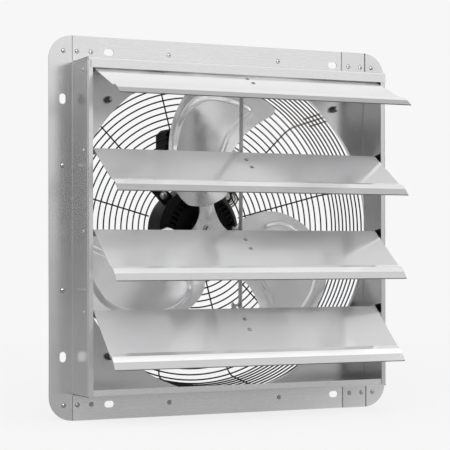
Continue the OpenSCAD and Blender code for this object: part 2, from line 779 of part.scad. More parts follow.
// Cross-headed screws through the lugs
module lug_screws() {
    color("lightgray") round_y(lug_deg) translate([lug_r, 0, 0]) difference() {
        union() {
            rod_y(bolt_r, bell_split - 1, guard_back + 7);
            turned_y() polygon([[0, bell_split - 3.4], [2.6, bell_split - 3.3], [4.6, bell_split - 2.2],
                [5.2, bell_split - 0.9], [6.2, bell_split - 0.9], [6.2, bell_split], [0, bell_split]]);
        }
        for (a = [45, 135]) rotate([0, a, 0]) translate([-2.6, bell_split - 5, -0.45])
            cube([5.2, 3, 0.9]);
    }
}

module lug_nuts() {
    color("lightgray") round_y(lug_deg) translate([lug_r, guard_back + motor_plate_t, 0]) difference() {
        rotate([-90, 0, 0]) cylinder(r = bolt_hex_r, h = 4, $fn = 6);
        rod_y(bolt_r, -1, 6);
    }
}

module stator_core() {
    color("dimgray") difference() {
        rod_y(stator_r[1], stator_y[0], stator_y[1]);
        rod_y(stator_r[0], stator_y[0] - 1, stator_y[1] + 1);
        round_y([for (i = [0:23]) i*15 + 7.5]) translate([stator_r[0] + 3, 0, -1.8])
            translate([0, stator_y[0] - 1, 0]) cube([12, 40, 3.6]);
        round_y([for (i = [0:23]) i*15 + 7.5]) translate([stator_r[0] - 2, stator_y[0] - 1, -0.8])
            cube([6, 40, 1.6]);
        bell_bolt_holes(bell_bolt_r);
    }
}

// Copper coils: a rounded bundle beyond each face of the core, joined through its slots
module stator_windings() {
    color("peru") {
        for (y = [stator_y[0] - 6, stator_y[1] + 3]) turned_y() union() {
            translate([stator_r[0] + 4, y]) square([11, 3]);
            translate([stator_r[0] + 6.5, y - 1]) square([6, 5]);
        }
        round_y([for (i = [0:23]) i*15 + 7.5]) translate([stator_r[0] + 4.5, stator_y[0] - 4, -1.3])
            cube([9, stator_y[1] - stator_y[0] + 8, 2.6]);
    }
}

module ball_bearing(y) {
    color("gray") turned_y() polygon([[shaft_r + 0.05, y], [9, y], [9.4, y + 0.6], [13, y + 0.6],
        [13.4, y], [bearing[1], y], [bearing[1], y + bearing[2]], [13.4, y + bearing[2]],
        [13, y + bearing[2] - 0.6], [9.4, y + bearing[2] - 0.6], [9, y + bearing[2]],
        [shaft_r + 0.05, y + bearing[2]]]);
}

module front_bearing() {
    ball_bearing(bearing_y[0]);
}

module rear_bearing() {
    ball_bearing(bearing_y[1]);
}

module rotor_core() {
    color("slategray") difference() {
        union() {
            rod_y(rotor_r, stator_y[0] - 1, stator_y[1] + 1);
            for (y = [stator_y[0] - 5, stator_y[1] + 1]) turned_y()
                translate([rotor_r - 11, y]) square([9, 4]);
        }
        rod_y(shaft_r, 0, 200);
    }
}

module motor_shaft() {
    color("lightgray") difference() {
        turned_y() polygon([[0, hub_y[0]], [shaft_r - 0.8, hub_y[0]], [shaft_r, hub_y[0] + 0.8],
            [shaft_r, bearing_y[1] + bearing[2] - 1.2], [shaft_r - 0.8, bearing_y[1] + bearing[2] - 0.4],
            [0, bearing_y[1] + bearing[2] - 0.4]]);
        rod_y(hub_bolt_r, hub_y[0] - 1, hub_y[0] + 14);
    }
}

module fan_hub() {
    color("gray") difference() {
        turned_y() polygon([[shaft_r, hub_y[0]], [hub_r, hub_y[0]], [hub_r, hub_y[1] - 2],
            [hub_r - 2, hub_y[1]], [shaft_r, hub_y[1]]]);
        translate([0, (hub_y[0] + hub_y[1])/2, 0]) rotate([0, 90, 0]) cylinder(r = 2.5, h = 30);
    }
}

// Everything on a blade is drawn with the arm along +X, and Z counted round from the arm
module blade_layer(r0, r1) {
    difference() {
        translate([0, camber_y, camber_t0]) rod_x(r1, 10, 240, $fn = 180);
        translate([0, camber_y, camber_t0]) rod_x(r0, 0, 250, $fn = 180);
        translate([0, -400, -200]) cube([300, 400, 400]);
    }
}

module blade_rivet_places() {
    for (r = blade_rivets_r) translate([r, blade_rivet_t]) children();
}

module blade(k) {
    color("silver") round_y([blade_turn + k*120]) difference() {
        union() {
            intersection() {
                blade_layer(camber_r, camber_r + blade_t);
                plate_y(0, 90) difference() {
                    polygon(closed_curve(blade_line, 3));
                    polygon(closed_curve(press_line, 3));
                }
            }
            intersection() {
                blade_layer(camber_r - press_h, camber_r - press_h + blade_t);
                plate_y(0, 90) polygon(closed_curve(press_line, 3));
            }
            intersection() {
                blade_layer(camber_r - press_h, camber_r + blade_t);
                plate_y(0, 90) difference() {
                    polygon(closed_curve(press_line, 3));
                    polygon(beside_closed(closed_curve(press_line, 3), blade_t));
                }
            }
        }
        plate_y(20, 90) blade_rivet_places() circle(r = blade_rivet_r + hole_gap);
    }
}

// The same closed line moved inwards by h
function beside_closed(p, h) = let (m = len(p)) [for (i = [0:m - 1])
    let (d = unit(p[(i + 1)%m] - p[(i + m - 1)%m])) p[i] + h*[d.y, -d.x]];

module arm_outline() {
    translate([arm_in, -arm_half]) square([arm_out - arm_end_r - arm_in, 2*arm_half]);
    translate([arm_out - arm_end_r - 1, arm_end_r - arm_half])
        square([arm_end_r + 1, 2*(arm_half - arm_end_r)]);
    for (s = [-1, 1]) translate([arm_out - arm_end_r, s*(arm_half - arm_end_r)]) circle(r = arm_end_r);
}

// The spider's middle is round, with a hollow curve between each pair of arms
module fan_spider() {
    color("gainsboro") difference() {
        union() {
            for (k = [0:2]) round_y([blade_turn + k*120]) intersection() {
                blade_layer(camber_r + blade_t, camber_r + blade_t + spider_t);
                plate_y(0, 90) arm_outline();
            }
            round_y([blade_turn]) plate_y(spider_y[0], spider_y[1]) difference() {
                circle(r = spider_r);
                for (k = [0:2]) rotate(60 + k*120) translate([(arm_half + arm_fillet)/sin(60), 0])
                    circle(r = arm_fillet, $fn = 90);
            }
        }
        rod_y(hub_bolt_r + hole_gap, 0, 100);
        round_y([for (k = [0:2]) blade_turn + k*120]) plate_y(20, 90) blade_rivet_places()
            circle(r = blade_rivet_r + hole_gap);
    }
}

module hub_bolt() {
    color("lightgray") union() {
        rod_y(hub_bolt_r, 54, hub_y[0] + 13);
        rod_y(8.5, spider_y[0] - 1.5, spider_y[0]);
        translate([0, spider_y[0] - 6, 0]) rotate([-90, 0, 0]) cylinder(r = 5.8, h = 4.6, $fn = 6);
    }
}

function blade_front_y(r, t) = camber_y + sqrt(r*r - (t - camber_t0)*(t - camber_t0));

module blade_rivets() {
    front = blade_front_y(camber_r, blade_rivet_t);
    back = blade_front_y(camber_r + blade_t + spider_t, blade_rivet_t);
    color("lightgray") round_y([for (k = [0:2]) blade_turn + k*120]) for (r = blade_rivets_r)
        translate([r, 0, blade_rivet_t]) union() {
            rod_y(blade_rivet_r, front - 1.3, back + 1.4);
            turned_y() intersection() {
                translate([0, front + 2.2]) circle(r = 5);
                translate([0, front - 4]) square([4.1, 2.9]);
            }
            rod_y(3.6, back + 1.2, back + 2.6);
        }
}

module box_outline(x0, x1, z0, z1) {
    polygon([[x0, z0], [x1, z0], [x1, z1 - box_chamfer], [x1 - box_chamfer, z1],
        [(x0 + x1)/2, z1 + box_ridge], [x0 + box_chamfer, z1], [x0, z1 - box_chamfer]]);
}

module box_screw_places() {
    for (x = [box_x[0] + 8, box_x[1] - 8], z = [box_z[0] + 8, box_z[1] - 15]) translate([x, z]) children();
}

module terminal_box() {
    w = box_wall;
    color([0.05, 0.05, 0.05]) difference() {
        union() {
            difference() {
                plate_y(box_y[0], box_y[1]) box_outline(box_x[0], box_x[1], box_z[0], box_z[1]);
                plate_y(box_y[0] + w, box_y[1] + 1)
                    box_outline(box_x[0] + w, box_x[1] - w, box_z[0] + w, box_z[1] - w);
            }
            plate_y(box_y[0] + 1, box_y[1]) box_screw_places() circle(r = box_post_r);
        }
        plate_y(box_y[1] - 12, box_y[1] + 1) box_screw_places() circle(r = box_screw_r);
        translate([box_x[1] - 10, (box_y[0] + box_y[1])/2, gland_z]) rod_x(gland_r, 0, 20);
        for (k = [-1:1]) translate([lead_box_x + lead_step*k, lead_y, box_z[0] - 1])
            cylinder(r = lead_r + 0.7, h = 6);
    }
}

// The lid with its four screws, on the back of the box
module box_lid() {
    color([0.05, 0.05, 0.05]) difference() {
        plate_y(box_y[1], box_y[1] + 2.5) box_outline(box_x[0], box_x[1], box_z[0], box_z[1]);
        plate_y(box_y[1] - 1, box_y[1] + 4) box_screw_places() circle(r = box_screw_r + hole_gap);
    }
}

module box_bracket() {
    color([0.06, 0.06, 0.06]) plate_y(guard_back, box_y[0]) difference() {
        polygon([[-59, 84], [59, 84], [59, 104], [45, 134], [45, 146], [-45, 146], [-45, 134], [-59, 104]]);
        for (x = [-53, 53]) translate([x, 96]) circle(r = 2.2);
    }
}

module cable_gland() {
    color([0.08, 0.08, 0.08]) translate([0, (box_y[0] + box_y[1])/2, gland_z]) difference() {
        union() {
            rod_x(gland_r, box_x[1] - box_wall - 4, box_x[1]);
            translate([box_x[1], 0, 0]) rotate([0, 90, 0]) cylinder(r = 11.5, h = 6, $fn = 6);
            rod_x(gland_r + 1.5, box_x[1] + 6, box_x[1] + 16);
            rod_x(gland_r + 2.5, box_x[1] - box_wall - 4, box_x[1] - box_wall);
        }
        rod_x(gland_r - 3.8, box_x[1] - 20, box_x[1] + 30);
    }
}

// Run capacitor inside the box
module capacitor() {
    color("whitesmoke") translate([capacitor_at.x, box_y[0] + box_wall, capacitor_at.y]) cube(capacitor_size);
}

// Motor leads: short insulated wires from the rear bell up into the box
function smooth_route(p, n) = let (m = len(p)) [for (i = [0:m - 2], k = [0:n - 1])
    smooth_point(p[max(i - 1, 0)], p[i], p[i + 1], p[min(i + 2, m - 1)], k/n), p[m - 1]];
// The same route moved to the right of its way by h, in X and Z
function route_beside(p, h) = let (m = len(p)) [for (i = [0:m - 1])
    let (v = p[min(i + 1, m - 1)] - p[max(i - 1, 0)], d = unit([v.x, 0, v.z])) p[i] + h*[d.z, 0, -d.x]];
function tube_ring(c, d, r, n) = let (a = unit(cross(d, [0, 1, 0])), b = cross(a, unit(d)))
    [for (k = [0:n - 1]) c + r*(a*cos(360*k/n) + b*sin(360*k/n))];

module swept_tube(line, r, n = 8) {
    m = len(line);
    rings = [for (i = [0:m - 1]) each tube_ring(line[i], line[min(i + 1, m - 1)] - line[max(i - 1, 0)], r, n)];
    sides = [for (i = [0:m - 2], k = [0:n - 1]) each let (k2 = (k + 1)%n)
        [[i*n + k, i*n + k2, i*n + n + k2], [i*n + k, i*n + n + k2, i*n + n + k]]];
    polyhedron(rings, concat(sides, [[for (k = [n - 1:-1:0]) k]], [[for (k = [0:n - 1]) (m - 1)*n + k]]), 4);
}

// Leads 1, 2 and 3 lie side by side, from the outlet on the rear bell to the box's floor
module lead(k) {
    swept_tube(smooth_route(route_beside(lead_route, (k - 2)*lead_step), 3), lead_r);
}

module lead_brown() {
    color("tan") lead(1);
}

module lead_blue() {
    color("steelblue") lead(2);
}

module lead_earth() {
    color("yellowgreen") lead(3);
}

frame_side_left();
frame_side_right();
frame_top();
frame_bottom();
corner_rivets();
panel_rivets();
orifice_panel();
pivot_pins();
pivot_blocks();
for (i = louvers) {
    louver(i);
    louver_bracket(i);
    bracket_rivets(i);
    link_pin(i);
}
tie_bar();
guard_face_rings();
guard_side_rings();
guard_spokes();
guard_ears();
guard_bolts();
guard_nuts();
guard_washers();
motor_plates();
motor_front_bell();
motor_rear_bell();
bell_bolts();
lug_screws();
lug_nuts();
stator_core();
stator_windings();
front_bearing();
rear_bearing();
rotor_core();
motor_shaft();
fan_hub();
fan_spider();
hub_bolt();
for (k = [0:2]) blade(k);
blade_rivets();
terminal_box();
box_lid();
box_bracket();
cable_gland();
capacitor();
lead_brown();
lead_blue();
lead_earth();
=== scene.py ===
import math

import bmesh
import bpy
from mathutils import Matrix, Vector


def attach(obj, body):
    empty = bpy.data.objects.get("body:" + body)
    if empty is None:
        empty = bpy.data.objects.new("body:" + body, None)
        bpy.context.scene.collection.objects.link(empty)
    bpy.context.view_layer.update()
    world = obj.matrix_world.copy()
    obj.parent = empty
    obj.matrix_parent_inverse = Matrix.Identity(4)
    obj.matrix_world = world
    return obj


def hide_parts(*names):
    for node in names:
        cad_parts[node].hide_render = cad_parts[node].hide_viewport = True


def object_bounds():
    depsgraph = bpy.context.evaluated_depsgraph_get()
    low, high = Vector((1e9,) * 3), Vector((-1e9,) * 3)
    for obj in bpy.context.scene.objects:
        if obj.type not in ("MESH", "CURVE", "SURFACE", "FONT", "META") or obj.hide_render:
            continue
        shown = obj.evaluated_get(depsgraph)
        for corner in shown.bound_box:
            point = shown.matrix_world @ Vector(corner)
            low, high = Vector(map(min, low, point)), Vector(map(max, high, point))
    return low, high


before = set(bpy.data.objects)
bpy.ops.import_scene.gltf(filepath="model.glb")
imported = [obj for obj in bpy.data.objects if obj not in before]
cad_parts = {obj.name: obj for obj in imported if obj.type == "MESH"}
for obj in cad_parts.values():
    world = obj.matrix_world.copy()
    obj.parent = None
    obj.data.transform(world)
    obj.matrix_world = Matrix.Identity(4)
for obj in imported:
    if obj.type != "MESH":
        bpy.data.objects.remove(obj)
cad_box = [list(corner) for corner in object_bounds()]
scene = bpy.context.scene
scene.view_settings.view_transform = "Standard"

# The camera. It stands 2.3 metres off, to the left of the fan and just below its middle, with a
# long lens that is tilted up by a hair and shifted up the rest of the way.
camera_tilt = 0.732
camera_roll = 0.132
camera_turn = -24.91
camera_data = bpy.data.cameras.new("long_lens")
camera_data.sensor_width = 36
camera_data.lens = 123.51
camera_data.shift_y = 0.03
camera = bpy.data.objects.new("long_lens", camera_data)
camera.location = (-0.97, -2.0907, -0.0439)
camera.rotation_euler = (
    math.radians(90 + camera_tilt),
    math.radians(camera_roll),
    math.radians(camera_turn),
)
scene.collection.objects.link(camera)
scene.camera = camera


# The studio: a pale paper floor under the fan in a grey room, brightest overhead and behind the fan
# to the right, with dark gaps in its walls. Black flags stand at the camera and to its right, a
# soft lamp hangs above the camera and weak ones to the right and behind.
def soft_lamp(name, place, aim, width, height, watts):
    """A lamp behind a sheet of diffuser, turned to what it lights."""
    data = bpy.data.lights.new(name, "AREA")
    data.shape = "RECTANGLE"
    data.size = width
    data.size_y = height
    data.energy = watts
    lamp = bpy.data.objects.new(name, data)
    lamp.location = place
    lamp.rotation_euler = (Vector(aim) - Vector(place)).to_track_quat("-Z", "Y").to_euler()
    scene.collection.objects.link(lamp)


louvers_at = (0, -0.05, 0)
soft_lamp("left_softbox", (-1.05, -2.25, 1.65), louvers_at, width=1.4, height=1.4, watts=40)
soft_lamp("right_softbox", (2.5, -1.0, 1.5), louvers_at, width=1.6, height=1.6, watts=8)
soft_lamp("rear_softbox", (-0.3, 0.9, 2.2), (0, 0, 0), width=1.6, height=1.0, watts=1)

backdrop_tone = 0.93
world = bpy.data.worlds.new("pale_room")
scene.world = world
world.use_nodes = True
room = world.node_tree
room.nodes.clear()


def room_tone(value, stops):
    """Turns a number from -1 to 1 into a grey, by stops of (number, grey)."""
    share = room.nodes.new("ShaderNodeMapRange")
    share.inputs["From Min"].default_value = -1
    room.links.new(value, share.inputs["Value"])
    ramp = room.nodes.new("ShaderNodeValToRGB")
    ends = ramp.color_ramp.elements
    while len(ends) < len(stops):
        ends.new(0.5)
    for end, (at, tone) in zip(ends, stops):
        end.position = (at + 1) / 2
        end.color = (tone, tone, tone, 1)
    room.links.new(share.outputs["Result"], ramp.inputs["Fac"])
    return ramp.outputs["Color"]


def reach(tree, place, way):
    """How far a direction or a place lies along a way."""
    product = tree.nodes.new("ShaderNodeVectorMath")
    product.operation = "DOT_PRODUCT"
    product.inputs[1].default_value = way
    tree.links.new(place, product.inputs[0])
    return product.outputs["Value"]


def fade(tree, value, start, end, low=0, high=1):
    """Goes smoothly from low to high as the value goes from start to end."""
    ranged = tree.nodes.new("ShaderNodeMapRange")
    ranged.interpolation_type = "SMOOTHSTEP"
    ranged.inputs["From Min"].default_value = start
    ranged.inputs["From Max"].default_value = end
    ranged.inputs["To Min"].default_value = low
    ranged.inputs["To Max"].default_value = high
    tree.links.new(value, ranged.inputs["Value"])
    return ranged.outputs["Result"]


direction = room.nodes.new("ShaderNodeTexCoord").outputs["Generated"]
parts = room.nodes.new("ShaderNodeSeparateXYZ")
room.links.new(direction, parts.inputs[0])
back, up = parts.outputs["Y"], parts.outputs["Z"]
to_bright_wall = (0.8, 0.6, 0)
walls = room_tone(
    reach(room, direction, to_bright_wall),
    [(-1, 0.26), (-0.8, 0.3), (-0.2, 0.7), (0, 0.68), (0.12, 0.1), (0.34, 0.05), (0.85, 0.9)],
)
behind_share = fade(room, back, -0.16, 0)
front_ceiling = 1.03
back_ceiling = room_tone(up, [(0.4, 0.84), (0.6, 0.8), (0.75, 0.52), (1, 0.5)])
ceiling = room.nodes.new("ShaderNodeMix")
ceiling.data_type = "RGBA"
ceiling.inputs["A"].default_value = (front_ceiling, front_ceiling, front_ceiling, 1)
room.links.new(behind_share, ceiling.inputs["Factor"])
room.links.new(back_ceiling, ceiling.inputs["B"])
higher_behind = 0.22
over_walls = room.nodes.new("ShaderNodeMath")
over_walls.operation = "MULTIPLY_ADD"
over_walls.inputs[1].default_value = -higher_behind
room.links.new(behind_share, over_walls.inputs[0])
room.links.new(up, over_walls.inputs[2])
room_colour = room.nodes.new("ShaderNodeMix")
room_colour.data_type = "RGBA"
room.links.new(fade(room, over_walls.outputs[0], 0.04, 0.2), room_colour.inputs["Factor"])
room.links.new(walls, room_colour.inputs["A"])
room.links.new(ceiling.outputs["Result"], room_colour.inputs["B"])


def flag(towards, edge, core, left_over):
    """Falls from 1 to what a black flag leaves over, from the flag's edge to its core."""
    return fade(room, reach(room, direction, towards), edge, core, 1, left_over)


both_flags = room.nodes.new("ShaderNodeMath")
both_flags.operation = "MULTIPLY"
right_flag = flag((0.95, -0.31, 0), edge=0.91, core=0.97, left_over=0.1)
camera_flag = flag((-0.42, -0.907, 0), edge=0.87, core=0.96, left_over=0.15)
room.links.new(right_flag, both_flags.inputs[0])
room.links.new(camera_flag, both_flags.inputs[1])
lit_room = room.nodes.new("ShaderNodeBackground")
room.links.new(room_colour.outputs["Result"], lit_room.inputs["Color"])
room.links.new(both_flags.outputs[0], lit_room.inputs["Strength"])
backdrop = room.nodes.new("ShaderNodeBackground")
backdrop.inputs["Color"].default_value = (backdrop_tone, backdrop_tone, backdrop_tone, 1)
seen_by = room.nodes.new("ShaderNodeLightPath")
choice = room.nodes.new("ShaderNodeMixShader")
room.links.new(seen_by.outputs["Is Camera Ray"], choice.inputs["Fac"])
room.links.new(lit_room.outputs[0], choice.inputs[1])
room.links.new(backdrop.outputs[0], choice.inputs[2])
out = room.nodes.new("ShaderNodeOutputWorld")
room.links.new(choice.outputs[0], out.inputs["Surface"])

floor_gap = 0.0004
floor_z = cad_box[0][2] - floor_gap
paper = bmesh.new()
bmesh.ops.create_circle(
    paper, cap_ends=True, radius=14, segments=96, matrix=Matrix.Translation((0, 0, floor_z))
)
floor_mesh = bpy.data.meshes.new("paper_floor")
paper.to_mesh(floor_mesh)
paper.free()
floor = bpy.data.objects.new("paper_floor", floor_mesh)
scene.collection.objects.link(floor)
paper_finish = bpy.data.materials.new("pale_paper")
paper_finish.use_nodes = True
sheet = paper_finish.node_tree
matt = sheet.nodes["Principled BSDF"]
matt.inputs["Base Color"].default_value = (0.86, 0.86, 0.86, 1)
matt.inputs["Roughness"].default_value = 0.9
glow = sheet.nodes.new("ShaderNodeEmission")
glow.inputs["Color"].default_value = (backdrop_tone, backdrop_tone, backdrop_tone, 1)


def sheet_math(operation, a, b):
    """Joins two values, of which either may be a plain number."""
    node = sheet.nodes.new("ShaderNodeMath")
    node.operation = operation
    for place, value in zip(node.inputs, (a, b)):
        if isinstance(value, float):
            place.default_value = value
        else:
            sheet.links.new(value, place)
    return node.outputs[0]


on_floor = sheet.nodes.new("ShaderNodeTexCoord").outputs["Object"]
from_fan = sheet.nodes.new("ShaderNodeVectorMath")
from_fan.operation = "LENGTH"
sheet.links.new(on_floor, from_fan.inputs[0])
seen = sheet.nodes.new("ShaderNodeLightPath")
camera_sees, metal_sees = seen.outputs["Is Camera Ray"], seen.outputs["Is Glossy Ray"]
glow_share = fade(sheet, from_fan.outputs["Value"], 0.5, 3, low=0.86, high=1)
mirrored_share = 0.95
to_camera = sheet_math("MULTIPLY", camera_sees, glow_share)
to_metal = sheet_math("MULTIPLY", metal_sees, mirrored_share)
to_pale_floor = (0.7, 0.6, 0)
back_tone = fade(sheet, reach(sheet, on_floor, to_pale_floor), 0, 0.35, low=0.4, high=1)
sheet.links.new(sheet_math("MAXIMUM", camera_sees, back_tone), glow.inputs["Strength"])
blend = sheet.nodes.new("ShaderNodeMixShader")
sheet.links.new(sheet_math("MAXIMUM", to_camera, to_metal), blend.inputs["Fac"])
sheet.links.new(matt.outputs[0], blend.inputs[1])
sheet.links.new(glow.outputs[0], blend.inputs[2])
sheet.links.new(blend.outputs[0], sheet.nodes["Material Output"].inputs["Surface"])
floor_mesh.materials.append(paper_finish)


# The frame: two side pieces and a top and a bottom piece, folded from satin aluminium sheet, each
# with its flange strip, sleeve wall and front lip, and lapped and riveted at the corners. The grain
# runs along each strip, as it came off the roll. Painted shade darkens the sheared edges, a narrow
# band at the top and bottom ends of each side wall and the joggles of the laps, for the shadow
# lines of gaps and laps.
def new_finish(name, metallic=0.0, rough=0.5):
    """A new material, with its node tree and its shader."""
    material = bpy.data.materials.new(name)
    material.use_nodes = True
    tree = material.node_tree
    shader = tree.nodes["Principled BSDF"]
    shader.inputs["Metallic"].default_value = metallic
    shader.inputs["Roughness"].default_value = rough
    return material, tree, shader


def pattern(tree, size, stretch=(1, 1, 1), detail=2.0, seed=0.0):
    """Cloudy noise on the piece's own coordinates, its patches about size metres across."""
    place = tree.nodes.new("ShaderNodeTexCoord")
    fit = tree.nodes.new("ShaderNodeMapping")
    fit.inputs["Location"].default_value = (seed, seed * 0.7, seed * 1.3)
    fit.inputs["Scale"].default_value = [1 / (size * s) for s in stretch]
    tree.links.new(place.outputs["Object"], fit.inputs["Vector"])
    cloud = tree.nodes.new("ShaderNodeTexNoise")
    cloud.inputs["Scale"].default_value = 1
    cloud.inputs["Detail"].default_value = detail
    tree.links.new(fit.outputs["Vector"], cloud.inputs["Vector"])
    return cloud.outputs["Fac"]


def tones(tree, value, dark, light, low=0.3, high=0.7):
    """Turns a pattern into a colour between dark and light."""
    ramp = tree.nodes.new("ShaderNodeValToRGB")
    ramp.color_ramp.elements[0].position = low
    ramp.color_ramp.elements[0].color = (*dark, 1)
    ramp.color_ramp.elements[1].position = high
    ramp.color_ramp.elements[1].color = (*light, 1)
    tree.links.new(value, ramp.inputs["Fac"])
    return ramp.outputs["Color"]


def spread(tree, value, low, high):
    """Turns a pattern into a number between low and high."""
    ranged = tree.nodes.new("ShaderNodeMapRange")
    ranged.inputs["From Min"].default_value = 0.3
    ranged.inputs["From Max"].default_value = 0.7
    ranged.inputs["To Min"].default_value = low
    ranged.inputs["To Max"].default_value = high
    tree.links.new(value, ranged.inputs["Value"])
    return ranged.outputs["Result"]


def multiply(tree, a, b):
    """Darkens one colour by another."""
    mixed = tree.nodes.new("ShaderNodeMix")
    mixed.data_type = "RGBA"
    mixed.blend_type = "MULTIPLY"
    mixed.inputs["Factor"].default_value = 1
    tree.links.new(a, mixed.inputs["A"])
    tree.links.new(b, mixed.inputs["B"])
    return mixed.outputs["Result"]


def relief(tree, shader, layers):
    """Stacks bumps, each a pattern with its depth in metres, and gives them to the shader."""
    last = None
    for value, depth in layers:
        bump = tree.nodes.new("ShaderNodeBump")
        bump.inputs["Distance"].default_value = depth
        bump.inputs["Strength"].default_value = 1
        tree.links.new(value, bump.inputs["Height"])
        if last:
            tree.links.new(last, bump.inputs["Normal"])
        last = bump.outputs["Normal"]
    tree.links.new(last, shader.inputs["Normal"])


def grey(tone):
    """A grey that is cool by a hair."""
    return (tone, tone, tone * 1.004)


def satin_sheet(name, along, tone, rough, metal=0.95, brushed=0.4, ripple=0.0003):
    """Rolled aluminium: fine lines along the roll, faint clouds, a gloss that follows both."""
    material, tree, shader = new_finish(name, metallic=metal)
    line_length = 90
    line_depth = 0.0000015
    stretch = [line_length if along == axis else 1 for axis in "XYZ"]
    lines = pattern(tree, 0.0016, stretch, detail=3, seed=1.7)
    fine = pattern(tree, 0.0005, stretch, detail=2, seed=4.1)
    clouds = pattern(tree, 0.09, detail=3, seed=2.3)
    colour = multiply(
        tree,
        tones(tree, lines, grey(tone * 0.98), grey(tone)),
        tones(tree, clouds, grey(0.97), grey(1.0)),
    )
    tree.links.new(colour, shader.inputs["Base Color"])
    tree.links.new(spread(tree, fine, rough - 0.03, rough + 0.03), shader.inputs["Roughness"])
    shader.inputs["Anisotropic"].default_value = brushed
    way = tree.nodes.new("ShaderNodeTangent")
    way.direction_type = "UV_MAP"
    way.uv_map = "across_grain"
    tree.links.new(way.outputs["Tangent"], shader.inputs["Tangent"])
    swell = pattern(tree, 0.09, detail=1, seed=6.2)
    relief(tree, shader, [(lines, line_depth), (swell, ripple)])
    return material


def piece_from(mesh, name, material, body, replaced=(), grain=None, crisp=35):
    """Makes a piece of a finished mesh: smooth where it curves, sharp where it folds."""
    if grain:
        across = mesh.loops.layers.uv.new("across_grain")
        u, v = {"X": ((0, 1, 1), (1, 0, 0)), "Z": ((1, 1, 0), (0, 0, 1))}[grain]
        for face in mesh.faces:
            for corner in face.loops:
                at = corner.vert.co
                corner[across].uv = (at.dot(Vector(u)), at.dot(Vector(v)))
    for face in mesh.faces:
        face.smooth = True
    for edge in mesh.edges:
        edge.smooth = edge.is_manifold and edge.calc_face_angle(0) < math.radians(crisp)
    data = bpy.data.meshes.new(name)
    mesh.to_mesh(data)
    mesh.free()
    data.materials.append(material)
    piece = bpy.data.objects.new(name, data)
    scene.collection.objects.link(piece)
    evened = piece.modifiers.new("even_shading", "WEIGHTED_NORMAL")
    evened.keep_sharp = True
    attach(piece, body)
    if replaced:
        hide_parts(*replaced)
    return piece


def merged_copy(node):
    """The CAD node's own shape as one closed mesh, its flat faces without inner lines."""
    mesh = bmesh.new()
    mesh.from_mesh(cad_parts[node].data)
    for layer in list(mesh.loops.layers.uv):
        mesh.loops.layers.uv.remove(layer)
    bmesh.ops.remove_doubles(mesh, verts=mesh.verts, dist=1e-6)
    bmesh.ops.dissolve_limit(
        mesh, angle_limit=math.radians(0.4), verts=mesh.verts, edges=mesh.edges
    )
    return mesh


def break_edges(mesh, width, steps=2, sharper_than=40):
    """Rounds off every edge that is folded more than the given angle."""
    folded = [
        e
        for e in mesh.edges
        if e.is_manifold and e.calc_face_angle(0) > math.radians(sharper_than)
    ]
    bmesh.ops.bevel(
        mesh,
        geom=folded,
        offset=width,
        offset_type="OFFSET",
        segments=steps,
        profile=0.5,
        affect="EDGES",
        material=-1,
        clamp_overlap=True,
    )


def dress(node, material, body, edge, grain=None, steps=2, crisp=35, scores=()):
    """Gives a node its finish, with edges broken by so many metres, scored along planes."""
    mesh = merged_copy(node)
    for at, across in scores:
        bmesh.ops.bisect_plane(
            mesh,
            geom=mesh.verts[:] + mesh.edges[:] + mesh.faces[:],
            dist=1e-5,
            plane_co=at,
            plane_no=across,
        )
    if edge:
        break_edges(mesh, edge, steps)
    return piece_from(
        mesh, "dressed_" + node, material, body, [node], grain, crisp
    )


upright_sheet = satin_sheet("satin_sheet_upright", "Z", tone=0.82, rough=0.24, metal=0.96)
level_sheet = satin_sheet("satin_sheet_level", "X", tone=0.86, rough=0.26, brushed=0.5)


def refinish(piece, material, chosen):
    """Gives another finish to the faces that the test chooses by their normal and their centre."""
    piece.data.materials.append(material)
    last = len(piece.data.materials) - 1
    for face in piece.data.polygons:
        if chosen(face.normal, face.center):
            face.material_index = last


# Painted shade for sheared edges and the seams beside them: a near-black metal that stands in for
# the shadow lines of gaps and laps. Its noise also gives the edges a burred roughness and relief.
edge_painted_shade, tree, shader = new_finish("edge_painted_shade", metallic=0.9)
burr_and_edge_shade = pattern(tree, 0.0007, detail=3, seed=6.5)
tree.links.new(tones(tree, burr_and_edge_shade, grey(0.08), grey(0.22)), shader.inputs["Base Color"])
tree.links.new(spread(tree, burr_and_edge_shade, 0.45, 0.6), shader.inputs["Roughness"])
relief(tree, shader, [(burr_and_edge_shade, 0.00005)])
# Painted shade for the slanted joggles of the laps, standing in for their shadow. Its streaky noise
# also varies the roughness and relief.
joggle_shade, tree, shader = new_finish("joggle_shade", metallic=0.9)
dull = pattern(tree, 0.001, (1, 1, 40), detail=3, seed=7.5)
tree.links.new(tones(tree, dull, grey(0.12), grey(0.2)), shader.inputs["Base Color"])
tree.links.new(spread(tree, dull, 0.35, 0.45), shader.inputs["Roughness"])
relief(tree, shader, [(dull, 0.00001)])
sleeve_top = 0.23725
wall_end = sleeve_top - 0.0009
above_sleeve = sleeve_top + 0.0015
tab_reach = 0.236
flange_front = -0.002
end_on = 0.45
slanting = 0.15
facing_front = 0.85
